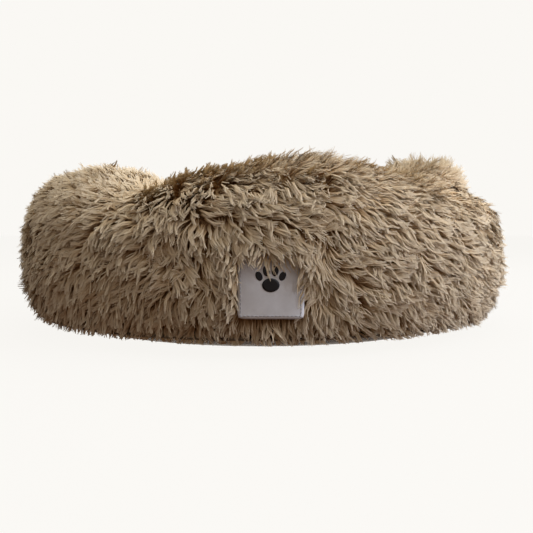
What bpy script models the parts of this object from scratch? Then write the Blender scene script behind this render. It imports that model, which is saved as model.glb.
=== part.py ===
"""Round pet cushion bed: a long-pile bolster ring around a sleeping pad, on a fabric base with a rear zip.

Metres, +Z up. The origin is the middle of the footprint on the floor, and the label faces -Y.
A bearing is an angle in degrees round +Z, from 0 at the label (-Y) towards +X at 90.
Round a slice of the bolster, a turn of 0 points away from the bed's middle and 90 points up.
"""

import math

import bmesh
import bpy
from mathutils import Vector

# The bolster ring, measured over the tips of its pile.
OUTER_RADIUS = 0.250
TUBE_HALF_WIDTH = 0.070
TUBE_MIDDLE = OUTER_RADIUS - TUBE_HALF_WIDTH
CREST = 0.150
SQUARE = 0.72  # power of the slice's outer outline: 1 is an ellipse, less is squarer
ROUND = 1.0

# Where the stuffed ring is fuller or kinked: (bearing, height added, spread in degrees).
LUMPS = (
    (12, 0.007, 18),
    (60, 0.008, 13),
    (-60, 0.005, 22),
    (-28, -0.016, 9),
    (100, -0.005, 16),
    (185, -0.004, 35),
)

# Layers of the ring, each given as its inset from the pile's tips and its lowest level.
PLUSH = 0.022  # backing cloth and its combed pile together
PLUSH_FLOOR = 0.004
LINER_OUTSIDE = 0.0230
LINER_INSIDE = 0.0240
FILLING_INSET = 0.0255
LINER_OUTSIDE_FLOOR = 0.0045
LINER_INSIDE_FLOOR = 0.0055
FILLING_FLOOR = 0.0068
TURN_STEP = 18  # every layer has its corners on these turns, so that the layers stay parallel
HEM_TURN = -45  # where the plush ends below, at the zip and the binding
PAD_TURN = 195  # where the plush ends inside, at the pad

# Every layer has a slice on each of these bearings too.
GRID_START = 2
GRID_STEP = 10
PANEL_SEAMS = (-28, 52, 142, 232)
PANEL_NAMES = ("ring_cover_front", "ring_cover_right", "ring_cover_rear", "ring_cover_left")
SEAM_NAMES = (
    "panel_seam_front_left",
    "panel_seam_front_right",
    "panel_seam_rear_right",
    "panel_seam_rear_left",
)
SEAM_HALF_GAP = 0.3
SEAM_HALF_THICKNESS = 0.12
SEAM_ALLOWANCE = (0.010, 0.0215)

# The sleeping pad.
PAD_RADIUS = 0.1105
PAD_INSERT_RADIUS = 0.131
PAD_CROWN = 0.056
SHEET = 0.001  # thickness of the liner cloth

# The base cloth, a shallow dish, and its gap to what is above it.
BASE_CLOTH = 0.0016
BASE_EDGE = 0.2092
BASE_HALF_WIDTH = 0.051
BASE_RISE = 0.066

# The zip runs round the rear, between the base and the plush.
ZIP_RADIUS = 0.2205
ZIP_FIRST, ZIP_LAST = 124.5, 235.5
TAPE_LEVEL, TAPE_THICKNESS = 0.0140, 0.0006
TAPE_INNER_EDGE, TAPE_OUTER_EDGE = 0.2085, 0.2320
COIL_HALF_GAP, COIL_WIDTH = 0.0008, 0.0024
COIL_LEVEL, COIL_HEIGHT = 0.0115, 0.0022
COIL_MARGIN = 2.3  # degrees of bare tape at each end
STOP_LENGTH = 0.9  # degrees
SLIDER_BEARING = 129
SLIDER_LENGTH, SLIDER_HALF_WIDTH = 0.012, 0.0055
WING_LEVEL, WING_THICKNESS = 0.0092, 0.0016
TOP_WING_LEVEL, TOP_WING_THICKNESS = 0.0150, 0.0012
PIVOT_LEVEL = 0.0078
BAIL_PIN_RADIUS, KNUCKLE_BORE, KNUCKLE_RADIUS = 0.00055, 0.00075, 0.0011
KNUCKLE_LENGTH = 0.0034
PULL_LENGTH, PULL_WIDTH, PULL_THICKNESS = 0.024, 0.006, 0.0012
PULL_DROOP = 12  # degrees below level, where its tip nearly rests on the floor

# The sewn label on the front.
LABEL_SIDE = 0.050
LABEL_THICKNESS = 0.0008
LABEL_MIDDLE = Vector((0.007, -0.2405, 0.056))
LABEL_POCKET = 0.056

COLLECTION = "pet_cushion_bed"
FINISHES = {
    "plush": ((0.60, 0.50, 0.36), 0.9, 0.0),
    "thread": ((0.50, 0.42, 0.31), 0.8, 0.0),
    "liner": ((0.83, 0.82, 0.79), 0.8, 0.0),
    "fibre": ((0.90, 0.90, 0.88), 0.95, 0.0),
    "base_cloth": ((0.36, 0.31, 0.25), 0.85, 0.0),
    "label": ((0.74, 0.73, 0.71), 0.55, 0.0),
    "ink": ((0.02, 0.02, 0.025), 0.5, 0.0),
    "tape": ((0.46, 0.39, 0.29), 0.8, 0.0),
    "coil": ((0.40, 0.34, 0.26), 0.4, 0.0),
    "metal": ((0.62, 0.60, 0.56), 0.3, 1.0),
    "satin": ((0.92, 0.92, 0.90), 0.4, 0.0),
}


def start_scene():
    for old in list(bpy.data.objects):
        bpy.data.objects.remove(old)
    made = {}
    for name in (COLLECTION, "cutters"):
        made[name] = bpy.data.collections.new(name)
        bpy.context.scene.collection.children.link(made[name])
    return made


def finish_of(name):
    found = bpy.data.materials.get(name)
    if found:
        return found
    colour, roughness, metallic = FINISHES[name]
    made = bpy.data.materials.new(name)
    made.use_nodes = True
    shader = made.node_tree.nodes["Principled BSDF"]
    shader.inputs["Base Color"].default_value = (*colour, 1)
    shader.inputs["Roughness"].default_value = roughness
    shader.inputs["Metallic"].default_value = metallic
    return made


def place(name, data, finish, collection=COLLECTION):
    made = bpy.data.objects.new(name, data)
    bpy.data.collections[collection].objects.link(made)
    if finish:
        data.materials.append(finish_of(finish))
    return made


def place_bmesh(name, shape, finish, collection=COLLECTION):
    mesh = bpy.data.meshes.new(name)
    shape.to_mesh(mesh)
    shape.free()
    return place(name, mesh, finish, collection)


def smooth(obj, sharper_than=40):
    obj.data.shade_smooth()
    obj.data.set_sharp_from_angle(angle=math.radians(sharper_than))


def polar(bearing, radius, level):
    turn = math.radians(bearing)
    return Vector((radius * math.sin(turn), -radius * math.cos(turn), level))


def signed_power(value, power):
    return math.copysign(abs(value) ** power, value)


# ---- the bolster ring -------------------------------------------------------------------------


def lumpy_crest(bearing):
    height = CREST
    for middle, added, spread in LUMPS:
        away = (bearing - middle + 180) % 360 - 180
        height += added * math.exp(-((away / spread) ** 2))
    return height


def crest_height(bearing):
    """The crest over a bearing, straight between the grid's bearings as every layer is."""
    whole, part = divmod((bearing - GRID_START) / GRID_STEP, 1)
    near = GRID_START + whole * GRID_STEP
    return lumpy_crest(near) * (1 - part) + lumpy_crest(near + GRID_STEP) * part


def slice_point(bearing, turn, inset=0.0, floor=0.0, lower=SQUARE):
    """A point of the ring's slice at a bearing: inset from the pile's tips and standing on floor."""
    half_width = TUBE_HALF_WIDTH - inset
    belt = (CREST - inset + floor) / 2
    across, up = math.cos(math.radians(turn)), math.sin(math.radians(turn))
    power = SQUARE if up >= 0 else lower
    radius = TUBE_MIDDLE + half_width * signed_power(across, power)
    reach = crest_height(bearing) - inset - belt if up >= 0 else belt - floor
    level = belt + reach * signed_power(up, power)
    return polar(bearing, radius, level)


def spaced(first, last, steps):
    return [first + (last - first) * i / steps for i in range(steps + 1)]


def ring_turns(first, last):
    """The turns of the grid from first to last, with both of those as ends."""
    return [first, *range((int(first) // TURN_STEP + 1) * TURN_STEP, int(last), TURN_STEP), last]


def band_slice(bearing, turns, outside, inside):
    """A closed outline between two layers; each layer is (inset, floor, lower power)."""
    there = [slice_point(bearing, turn, *outside) for turn in turns]
    back = [slice_point(bearing, turn, *inside) for turn in reversed(turns)]
    return there + back


def loft(name, slices, finish, closed=False):
    """A solid through outlines of equal length: a closed ring, or a run with an end face at each end."""
    shape = bmesh.new()
    rows = [[shape.verts.new(point) for point in outline] for outline in slices]
    count = len(rows[0])
    pairs = list(zip(rows, rows[1:]))
    if closed:
        pairs.append((rows[-1], rows[0]))
    else:
        shape.faces.new(rows[0])
        shape.faces.new(rows[-1])
    for near, far in pairs:
        for i in range(count):
            j = (i + 1) % count
            shape.faces.new((near[i], near[j], far[j], far[i]))
    bmesh.ops.recalc_face_normals(shape, faces=shape.faces)
    made = place_bmesh(name, shape, finish)
    smooth(made)
    return made


def grid_bearings(first, last):
    """The grid's bearings strictly between two bearings."""
    step = math.ceil((first - GRID_START) / GRID_STEP) - 1
    found = []
    while GRID_START + step * GRID_STEP < last - 1:
        bearing = GRID_START + step * GRID_STEP
        if bearing > first + 1:
            found.append(bearing)
        step += 1
    return found


def make_ring_covers():
    turns = ring_turns(HEM_TURN, PAD_TURN)
    outside, inside = (0.0, 0.0, SQUARE), (PLUSH, PLUSH_FLOOR, ROUND)
    made = []
    for name, seam, following in zip(PANEL_NAMES, PANEL_SEAMS, (*PANEL_SEAMS[1:], PANEL_SEAMS[0] + 360)):
        ends = seam + SEAM_HALF_GAP, following - SEAM_HALF_GAP
        bearings = [ends[0], *grid_bearings(*ends), ends[1]]
        made.append(loft(name, [band_slice(b, turns, outside, inside) for b in bearings], "plush"))
    return made


def make_panel_seams():
    turns = ring_turns(HEM_TURN, PAD_TURN)
    outer, inner = SEAM_ALLOWANCE
    floor = PLUSH_FLOOR / PLUSH
    for name, seam in zip(SEAM_NAMES, PANEL_SEAMS):
        bearings = (seam - SEAM_HALF_THICKNESS, seam + SEAM_HALF_THICKNESS)
        layers = (outer, outer * floor, ROUND), (inner, inner * floor, ROUND)
        loft(name, [band_slice(b, turns, *layers) for b in bearings], "thread")


def make_ring_insert():
    bearings = grid_bearings(-3, 360)
    outside = (LINER_OUTSIDE, LINER_OUTSIDE_FLOOR, ROUND)
    inside = (LINER_INSIDE, LINER_INSIDE_FLOOR, ROUND)
    for name, first, last in (("ring_liner_upper", 1, 179), ("ring_liner_lower", 181, 359)):
        turns = ring_turns(first, last)
        loft(name, [band_slice(b, turns, outside, inside) for b in bearings], "liner", closed=True)
    turns = range(0, 360, TURN_STEP)
    core = (FILLING_INSET, FILLING_FLOOR, ROUND)
    loft("ring_filling", [[slice_point(b, t, *core) for t in turns] for b in bearings], "fibre", closed=True)


# ---- turned pieces: the pad, the base and the pad's seam ---------------------------------------


def turned(name, profile, finish, steps=36, closed=False):
    """Turns a profile of (radius, level) points round +Z: from the axis, out, down and back to it."""
    edges = [(i, i + 1) for i in range(len(profile) - 1)]
    if closed:
        edges.append((len(profile) - 1, 0))
    mesh = bpy.data.meshes.new(name)
    mesh.from_pydata([(radius, 0, level) for radius, level in profile], edges, [])
    made = place(name, mesh, finish)
    screw = made.modifiers.new("turn", "SCREW")
    screw.steps = screw.render_steps = steps
    screw.use_merge_vertices = True
    screw.merge_threshold = 0.00005
    screw.use_smooth_shade = False
    return made


def rounded_edge(radius, top, bottom, corner, steps=3):
    """The outer edge of a round slab, from its top to its bottom, with rounded corners."""
    found = []
    for middle, first in ((top - corner, 90), (bottom + corner, 0)):
        for turn in spaced(first, first - 90, steps):
            along = math.radians(turn)
            found.append((radius - corner + corner * math.cos(along), middle + corner * math.sin(along)))
    return found


def make_pad():
    plush_bottom = 0.0375
    crown = [(0, PAD_CROWN), (0.045, PAD_CROWN - 0.001), (0.080, PAD_CROWN - 0.004)]
    edge = rounded_edge(PAD_RADIUS, 0.0470, plush_bottom, 0.0040)
    turned("pad_cover", [*crown, *edge, (0, plush_bottom)], "plush")

    filling_top, filling_bottom = 0.0350, 0.0035
    edge = rounded_edge(PAD_INSERT_RADIUS - 0.0015, filling_top, filling_bottom, 0.010)
    turned("pad_filling", [(0, filling_top), *edge, (0, filling_bottom)], "fibre")

    # The insert's bag is two sheets, sewn together half-way up its edge.
    outside = rounded_edge(PAD_INSERT_RADIUS, filling_top + 0.0015, filling_bottom - 0.0015, 0.0110)
    inside = rounded_edge(PAD_INSERT_RADIUS - SHEET, filling_top + 0.0005, filling_bottom - 0.0005, 0.0105)
    half = len(outside) // 2
    seam_level = (filling_top + filling_bottom) / 2
    above = [(radius, seam_level + 0.0002) for radius in (PAD_INSERT_RADIUS, PAD_INSERT_RADIUS - SHEET)]
    below = [(radius, seam_level - 0.0002) for radius in (PAD_INSERT_RADIUS - SHEET, PAD_INSERT_RADIUS)]
    upper = [(0, filling_top + 0.0015), *outside[:half], *above]
    turned("pad_liner_top", [*upper, *reversed(inside[:half]), (0, filling_top + 0.0005)], "liner")
    lower = [(0, filling_bottom - 0.0005), *reversed(inside[half:]), *below]
    turned("pad_liner_bottom", [*lower, *outside[half:], (0, filling_bottom - 0.0015)], "liner")


def make_pad_seam():
    cord_radius, middle = 0.0013, (0.1125, 0.0448)
    bpy.ops.mesh.primitive_torus_add(
        major_radius=middle[0], minor_radius=cord_radius, major_segments=36, minor_segments=6,
        location=(0, 0, middle[1]),
    )
    cord = bpy.context.object
    cord.name = cord.data.name = "pad_seam_cord"
    for holder in list(cord.users_collection):
        holder.objects.unlink(cord)
    bpy.data.collections[COLLECTION].objects.link(cord)
    cord.data.materials.append(finish_of("thread"))


def base_level(radius):
    """The level of the base cloth's underside: flat, then rising as the ring's underside does."""
    across = max(0.0, radius - TUBE_MIDDLE) / BASE_HALF_WIDTH
    return BASE_RISE * (1 - math.sqrt(1 - across**2))


def make_base():
    rim = spaced(TUBE_MIDDLE, BASE_EDGE, 5)
    upper = [(0, BASE_CLOTH), *((r, base_level(r) + BASE_CLOTH) for r in rim)]
    lower = [*((r, base_level(r)) for r in reversed(rim)), (0, 0)]
    turned("base_panel", upper + lower, "base_cloth")


# ---- flat bands round the hem: the binding and the zip -----------------------------------------


def flat_band(name, inner, outer, first, last, level, thickness, finish, step=4.0):
    """A flat strip that follows an arc round +Z, from one bearing to another, its underside at level."""
    steps = max(1, math.ceil((last - first) / step))
    bearings = spaced(first, last, steps)
    outline = [polar(b, outer, 0) for b in bearings] + [polar(b, inner, 0) for b in reversed(bearings)]
    curve = bpy.data.curves.new(name, "CURVE")
    curve.dimensions = "2D"
    curve.fill_mode = "BOTH"
    curve.extrude = thickness / 2
    spline = curve.splines.new("POLY")
    spline.points.add(len(outline) - 1)
    for point, at in zip(spline.points, outline):
        point.co = (*at, 1)
    spline.use_cyclic_u = True
    made = place(name, curve, finish)
    made.location.z = level + thickness / 2
    return made


def make_binding():
    clear = 0.0006
    flat_band(
        "base_binding", BASE_EDGE + clear, TAPE_OUTER_EDGE, ZIP_LAST + 0.5, ZIP_FIRST + 359.5,
        0.0125, 0.0014, "tape",
    )


def make_zip_chain():
    inner_coil = ZIP_RADIUS - COIL_HALF_GAP - COIL_WIDTH
    outer_coil = ZIP_RADIUS + COIL_HALF_GAP
    tape_gap = COIL_HALF_GAP + 0.0002
    tape = (ZIP_FIRST, ZIP_LAST, TAPE_LEVEL, TAPE_THICKNESS, "tape")
    coil = (ZIP_FIRST + COIL_MARGIN, ZIP_LAST - COIL_MARGIN, COIL_LEVEL, COIL_HEIGHT, "coil")
    flat_band("zip_tape_inner", TAPE_INNER_EDGE, ZIP_RADIUS - tape_gap, *tape)
    flat_band("zip_tape_outer", ZIP_RADIUS + tape_gap, TAPE_OUTER_EDGE, *tape)
    flat_band("zip_coil_inner", inner_coil, inner_coil + COIL_WIDTH, *coil)
    flat_band("zip_coil_outer", outer_coil, outer_coil + COIL_WIDTH, *coil)
    for name, first in (
        ("zip_top_stop", ZIP_FIRST + COIL_MARGIN - STOP_LENGTH - 0.1),
        ("zip_bottom_stop", ZIP_LAST - COIL_MARGIN + 0.1),
    ):
        last = first + STOP_LENGTH
        flat_band(name, inner_coil, outer_coil + COIL_WIDTH, first, last, COIL_LEVEL, COIL_HEIGHT, "metal")


def add_box(shape, low, high):
    made = bmesh.ops.create_cube(shape, size=1)
    low, high = Vector(low), Vector(high)
    for vert in made["verts"]:
        vert.co = Vector(((low[i] + high[i]) / 2 + vert.co[i] * (high[i] - low[i]) for i in range(3)))


def box(name, low, high, finish, collection=COLLECTION):
    shape = bmesh.new()
    add_box(shape, low, high)
    return place_bmesh(name, shape, finish, collection)


def rod_along_y(name, radius, length, middle, finish, collection=COLLECTION, segments=16):
    shape = bmesh.new()
    bmesh.ops.create_cone(
        shape, cap_ends=True, segments=segments, radius1=radius, radius2=radius, depth=length,
    )
    for vert in shape.verts:
        vert.co = Vector((vert.co.x, vert.co.z, vert.co.y)) + Vector(middle)
    bmesh.ops.recalc_face_normals(shape, faces=shape.faces)
    return place_bmesh(name, shape, finish, collection)


def combine(target, helper, operation):
    """Joins a helper to the target, or cuts it away, and hides the helper."""
    helper.hide_render = True
    helper.display_type = "WIRE"
    step = target.modifiers.new(helper.name, "BOOLEAN")
    step.operation = operation
    step.solver = "EXACT"
    step.object = helper


def make_zip_slider(travel):
    """The slider, modelled at bearing 0 and turned to its place by its parent, the axis of its travel."""
    half_length = SLIDER_LENGTH / 2
    near, far = -ZIP_RADIUS - SLIDER_HALF_WIDTH, -ZIP_RADIUS + SLIDER_HALF_WIDTH
    wing_top = WING_LEVEL + WING_THICKNESS
    top_wing_top = TOP_WING_LEVEL + TOP_WING_THICKNESS
    slider = box("zip_slider", (-half_length, near, WING_LEVEL), (half_length, far, wing_top), "metal")
    neck_half, overlap = 0.0003, 0.0004
    flange, flange_top = 0.001, 0.0134
    post_half_length, post_thickness, post_bottom = 0.0008, 0.0009, PIVOT_LEVEL - 0.0008
    post_gap = KNUCKLE_LENGTH / 2 + 0.0003
    pieces = [
        box(
            "top_wing",
            (-half_length, near, TOP_WING_LEVEL),
            (half_length, far, top_wing_top),
            None,
            "cutters",
        ),
        box(
            "neck",
            (-half_length, -ZIP_RADIUS - neck_half, wing_top - overlap),
            (-half_length + 0.004, -ZIP_RADIUS + neck_half, TOP_WING_LEVEL + overlap),
            None,
            "cutters",
        ),
    ]
    for side, edge in (("outer", near), ("inner", far - flange)):
        pieces.append(
            box(
                f"{side}_flange",
                (-half_length, edge, wing_top - overlap),
                (half_length, edge + flange, flange_top),
                None,
                "cutters",
            )
        )
    for side, sign in (("outer", -1), ("inner", 1)):
        edges = sorted((sign * post_gap, sign * (post_gap + post_thickness)))
        pieces.append(
            box(
                f"{side}_post",
                (-post_half_length, -ZIP_RADIUS + edges[0], post_bottom),
                (post_half_length, -ZIP_RADIUS + edges[1], WING_LEVEL + overlap),
                None,
                "cutters",
            )
        )
    pin_length = 2 * (post_gap + post_thickness / 2)
    pin_middle = (0, -ZIP_RADIUS, PIVOT_LEVEL)
    pieces.append(rod_along_y("bail_pin", BAIL_PIN_RADIUS, pin_length, pin_middle, None, "cutters"))
    slider.parent = travel
    for piece in pieces:
        piece.parent = travel
        combine(slider, piece, "UNION")


def make_zip_pull(travel):
    """The pull tab, which turns on the slider's bail pin. Its parent stands on that pin."""
    pivot = bpy.data.objects.new("pull_pivot", None)
    bpy.data.collections[COLLECTION].objects.link(pivot)
    pivot.parent = travel
    pivot.location = (0, -ZIP_RADIUS, PIVOT_LEVEL)
    pivot.rotation_euler.y = math.radians(PULL_DROOP)
    half_thickness, half_width = PULL_THICKNESS / 2, PULL_WIDTH / 2
    knuckle_half = KNUCKLE_LENGTH / 2
    pull = rod_along_y("zip_pull", KNUCKLE_RADIUS, KNUCKLE_LENGTH, (0, 0, 0), "metal")
    neck_low, neck_high = (0.0004, -knuckle_half, -half_thickness), (0.005, knuckle_half, half_thickness)
    tab_low, tab_high = (0.0030, -half_width, -half_thickness), (PULL_LENGTH, half_width, half_thickness)
    neck = box("pull_neck", neck_low, neck_high, None, "cutters")
    tab = box("pull_tab", tab_low, tab_high, None, "cutters")
    bore = rod_along_y("pull_bore", KNUCKLE_BORE, 3 * KNUCKLE_LENGTH, (0, 0, 0), None, "cutters")
    pull.parent = pivot
    for piece, operation in ((neck, "UNION"), (tab, "UNION"), (bore, "DIFFERENCE")):
        piece.parent = pivot
        combine(pull, piece, operation)


def make_zip():
    make_zip_chain()
    travel = bpy.data.objects.new("zip_travel", None)
    bpy.data.collections[COLLECTION].objects.link(travel)
    travel.rotation_euler.z = math.radians(SLIDER_BEARING)
    make_zip_slider(travel)
    make_zip_pull(travel)


# ---- the labels ---------------------------------------------------------------------------------


def upright_plate(name, half_width, half_height, thickness, middle, finish, corner=0.002):
    """A thin plate that faces -Y, with its upright edges rounded in its own plane."""
    x, y, z = middle
    plate = box(
        name,
        (x - half_width, y - thickness / 2, z - half_height),
        (x + half_width, y + thickness / 2, z + half_height),
        finish,
    )
    shape = bmesh.new()
    shape.from_mesh(plate.data)
    corners = [e for e in shape.edges if abs(e.verts[0].co.y - e.verts[1].co.y) > thickness / 2]
    bmesh.ops.bevel(shape, geom=corners, offset=corner, segments=3, profile=0.5, affect="EDGES")
    shape.to_mesh(plate.data)
    shape.free()
    return plate


def make_label(front_cover):
    x, y, z = LABEL_MIDDLE
    half = LABEL_SIDE / 2
    pocket_half = LABEL_POCKET / 2
    pocket = box(
        "label_pocket",
        (x - pocket_half, -OUTER_RADIUS - 0.02, z - pocket_half),
        (x + pocket_half, y + LABEL_THICKNESS / 2 + 0.0004, z + pocket_half),
        None,
        "cutters",
    )
    combine(front_cover, pocket, "DIFFERENCE")
    upright_plate("label_patch", half, half, LABEL_THICKNESS, LABEL_MIDDLE, "label")

    thread, inset = 0.0005, 0.0025
    front = y - LABEL_THICKNESS / 2 - 0.0003
    level = Vector((x, front - thread / 2, z))
    stitching = upright_plate("label_stitching", half - inset, half - inset, thread, level, "thread", 0.001)
    window_half = half - inset - 0.0006
    window = box(
        "stitching_window",
        (x - window_half, front - 0.005, z - window_half),
        (x + window_half, front + 0.005, z + window_half),
        None,
        "cutters",
    )
    combine(stitching, window, "DIFFERENCE")
    make_paw_print(Vector((x, front, z + 0.003)))


def make_paw_print(middle):
    """A plain printed paw: one wide pad and four toes that run into it."""
    ink = 0.0003
    pad, toes = (0.0068, 0.0054), (0.0027, 0.0040)
    places = [(-0.0075, 0.0040), (-0.0030, 0.0080), (0.0030, 0.0080), (0.0075, 0.0040)]

    def spot(name, half_width, half_height, x, z, finish, collection):
        made = rod_along_y(name, 1.0, ink, (0, 0, 0), finish, collection, segments=20)
        for vert in made.data.vertices:
            across, through, up = vert.co
            vert.co = middle + Vector((x + across * half_width, through - ink / 2, z + up * half_height))
        return made

    paw = spot("label_print", *pad, 0, -0.0012, "ink", COLLECTION)
    for i, (x, z) in enumerate(places):
        combine(paw, spot(f"toe_{i}", *toes, x, z, None, "cutters"), "UNION")


def make_care_label():
    """A folded satin tag that hangs from the hem, rear left."""
    bearing, radius = 250, TAPE_OUTER_EDGE + 0.0007
    tag = box("care_label", (-0.010, -0.0003, -0.0065), (0.010, 0.0003, 0.0065), "satin")
    tag.location = polar(bearing, radius, 0.0088)
    tag.rotation_euler.z = math.radians(bearing)


def main():
    start_scene()
    covers = make_ring_covers()
    make_panel_seams()
    make_ring_insert()
    make_pad()
    make_pad_seam()
    make_base()
    make_binding()
    make_zip()
    make_label(covers[0])
    make_care_label()


main()
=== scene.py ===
# %% [markdown]
# # A shaggy donut bed for a cat or a small dog
# The bed is a stuffed ring of long-pile faux fur, sewn round a soft sleeping pad, on a cloth base
# that has a zip at the back. Almost all that the eye meets is fur, so most of this lesson is about
# growing and combing it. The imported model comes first: every piece here is built around it.

# %% The frame that everything is built around
import math

import bmesh
import bpy
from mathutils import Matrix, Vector, noise


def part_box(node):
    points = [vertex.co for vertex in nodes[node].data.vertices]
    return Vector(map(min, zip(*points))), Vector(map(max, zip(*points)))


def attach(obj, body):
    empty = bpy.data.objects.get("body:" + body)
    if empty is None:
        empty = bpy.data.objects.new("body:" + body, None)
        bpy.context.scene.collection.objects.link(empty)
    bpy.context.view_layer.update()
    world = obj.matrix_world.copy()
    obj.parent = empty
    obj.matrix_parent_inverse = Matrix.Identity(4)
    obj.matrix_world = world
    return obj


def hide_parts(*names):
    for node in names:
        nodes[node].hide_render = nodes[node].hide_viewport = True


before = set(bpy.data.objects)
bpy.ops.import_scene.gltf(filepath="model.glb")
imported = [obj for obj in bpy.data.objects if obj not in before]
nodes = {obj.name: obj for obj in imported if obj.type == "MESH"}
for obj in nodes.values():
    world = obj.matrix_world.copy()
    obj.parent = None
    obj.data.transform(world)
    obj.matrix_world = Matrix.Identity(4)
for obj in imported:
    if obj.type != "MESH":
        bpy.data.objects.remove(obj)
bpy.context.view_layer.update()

# %% [markdown]
# ## Small helpers
# Colours are picked as hex values, the way a swatch book gives them, and one function turns them
# into the linear light that shaders mix. Another adds a node of any kind with its settings and
# links, so that a whole node tree reads as a list of lines.

# %% Helpers for colour, nodes and meshes
def linear(hex_colour):
    """A hex colour such as "c8b89a" as linear red, green, blue and alpha."""
    parts = [int(hex_colour[i:i + 2], 16) / 255 for i in (0, 2, 4)]
    return (*[p / 12.92 if p <= 0.04045 else ((p + 0.055) / 1.055) ** 2.4 for p in parts], 1.0)


def add(tree, kind, settings=None, inputs=None):
    """Adds a node; inputs maps a socket's name or number to a value, a socket or another node."""
    node = tree.nodes.new(kind)
    for name, value in (settings or {}).items():
        setattr(node, name, value)
    for key, value in (inputs or {}).items():
        if isinstance(value, bpy.types.Node):
            value = value.outputs[0]
        if isinstance(value, bpy.types.NodeSocket):
            tree.links.new(value, node.inputs[key])
        else:
            node.inputs[key].default_value = value
    return node


def start_material(name):
    """A material with nothing in it yet but a Principled shader and its output."""
    material = bpy.data.materials.new(name)
    material.use_nodes = True
    tree = material.node_tree
    tree.nodes.clear()
    shader = add(tree, "ShaderNodeBsdfPrincipled")
    add(tree, "ShaderNodeOutputMaterial", None, {"Surface": shader})
    return material, tree, shader


def mesh_object(name, points, faces, material=None):
    """A smooth-shaded mesh in the scene, from its corners and faces."""
    mesh = bpy.data.meshes.new(name)
    mesh.from_pydata([tuple(p) for p in points], [], faces)
    mesh.shade_smooth()
    made = bpy.data.objects.new(name, mesh)
    bpy.context.scene.collection.objects.link(made)
    if material:
        mesh.materials.append(material)
    return made


def fix_normals(obj):
    """Turns every face of a closed shape outwards."""
    tidy = bmesh.new()
    tidy.from_mesh(obj.data)
    bmesh.ops.recalc_face_normals(tidy, faces=tidy.faces)
    tidy.to_mesh(obj.data)
    tidy.free()


def report(obj):
    obj.data.calc_loop_triangles()
    print(obj.name, len(obj.data.loop_triangles), "triangles")


print("helpers are ready")


# %% [markdown]
# ## Camera, floor and light
# A low camera, level with the ring's middle, makes the bed look wide and plump. The light is soft:
# a pale ceiling over dim brown walls, a large lamp overhead, a cool window at the right and a weak
# warm lamp at the front. So the crest and the right end are pale, and the foot at the left is dark
# and warm. A few small lamps would be simpler, but their hard shadows make fur look like straw.

# %% The camera
CAMERA_PLACE = (0.0038, -0.75, 0.099)
CAMERA_DROOP = 3.23  # degrees below the horizon
LENS_MM = 46.1

camera_data = bpy.data.cameras.new("camera")
camera_data.lens = LENS_MM
camera_data.sensor_width = 36
camera_data.clip_start = 0.01
camera = bpy.data.objects.new("camera", camera_data)
bpy.context.scene.collection.objects.link(camera)
camera.location = CAMERA_PLACE
camera.rotation_euler = (math.radians(90 - CAMERA_DROOP), 0, 0)
bpy.context.scene.camera = camera
bpy.context.scene.view_settings.view_transform = "Standard"
print("camera at", CAMERA_PLACE)

# %% The room around the bed
PALE = "faf8f4"
WALLS, CEILING = "67411f", "f3f5f8"
ROOM_STRENGTH = 0.60
WALLS_TO, CEILING_FROM = -0.2, 0.75  # how far up one looks, from -1 straight down to 1 straight up

# What the camera sees behind the bed is plain and pale. What lights the bed is the room.
world = bpy.data.worlds.new("studio")
bpy.context.scene.world = world
world.use_nodes = True
world.node_tree.nodes.clear()
path = add(world.node_tree, "ShaderNodeLightPath")
seen = add(world.node_tree, "ShaderNodeBackground", None, {"Color": linear(PALE), "Strength": 1.0})
way_out = add(world.node_tree, "ShaderNodeTexCoord")
height = add(world.node_tree, "ShaderNodeSeparateXYZ", None, {0: way_out.outputs["Generated"]})
wall = add(
    world.node_tree, "ShaderNodeMapRange", None,
    {0: height.outputs[2], 1: WALLS_TO, 2: CEILING_FROM},
)
tones = add(world.node_tree, "ShaderNodeValToRGB", None, {0: wall})
tones.color_ramp.elements[0].color = linear(WALLS)
tones.color_ramp.elements[1].color = linear(CEILING)
lit = add(
    world.node_tree, "ShaderNodeBackground", None, {"Color": tones, "Strength": ROOM_STRENGTH}
)
sky = add(
    world.node_tree, "ShaderNodeMixShader", None,
    {0: path.outputs["Is Camera Ray"], 1: lit, 2: seen},
)
add(world.node_tree, "ShaderNodeOutputWorld", None, {"Surface": sky})
print("the room's ceiling is", CEILING, "and its walls are", WALLS)

# %% The floor
FLOOR_HALF, FLOOR_LEVEL = 8.0, -0.0006
PAPER_GLOW = 0.96  # how much of the paper's brightness is its own, so that shadows stay faint

# Studio paper: matt and almost white, so that the bed stands in front of nothing. From below it is
# clear, so that the underside of the bed can be looked at.
floor_material = bpy.data.materials.new("pale studio paper")
floor_material.use_nodes = True
tree = floor_material.node_tree
tree.nodes.clear()
paper = add(tree, "ShaderNodeBsdfDiffuse", None, {"Color": linear(PALE)})
glow = add(tree, "ShaderNodeEmission", None, {"Color": linear(PALE), "Strength": 1.0})
face = add(tree, "ShaderNodeMixShader", None, {0: PAPER_GLOW, 1: paper, 2: glow})
clear = add(tree, "ShaderNodeBsdfTransparent")
side = add(tree, "ShaderNodeNewGeometry")
both = add(tree, "ShaderNodeMixShader", None, {0: side.outputs["Backfacing"], 1: face, 2: clear})
add(tree, "ShaderNodeOutputMaterial", None, {"Surface": both})
corners = [
    (x * FLOOR_HALF, y * FLOOR_HALF, FLOOR_LEVEL) for x, y in ((-1, -1), (1, -1), (1, 1), (-1, 1))
]
floor = mesh_object("floor", corners, [(0, 1, 2, 3)], floor_material)
floor.visible_diffuse = False
floor.visible_glossy = False
print("the floor is", 2 * FLOOR_HALF, "m across")


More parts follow.
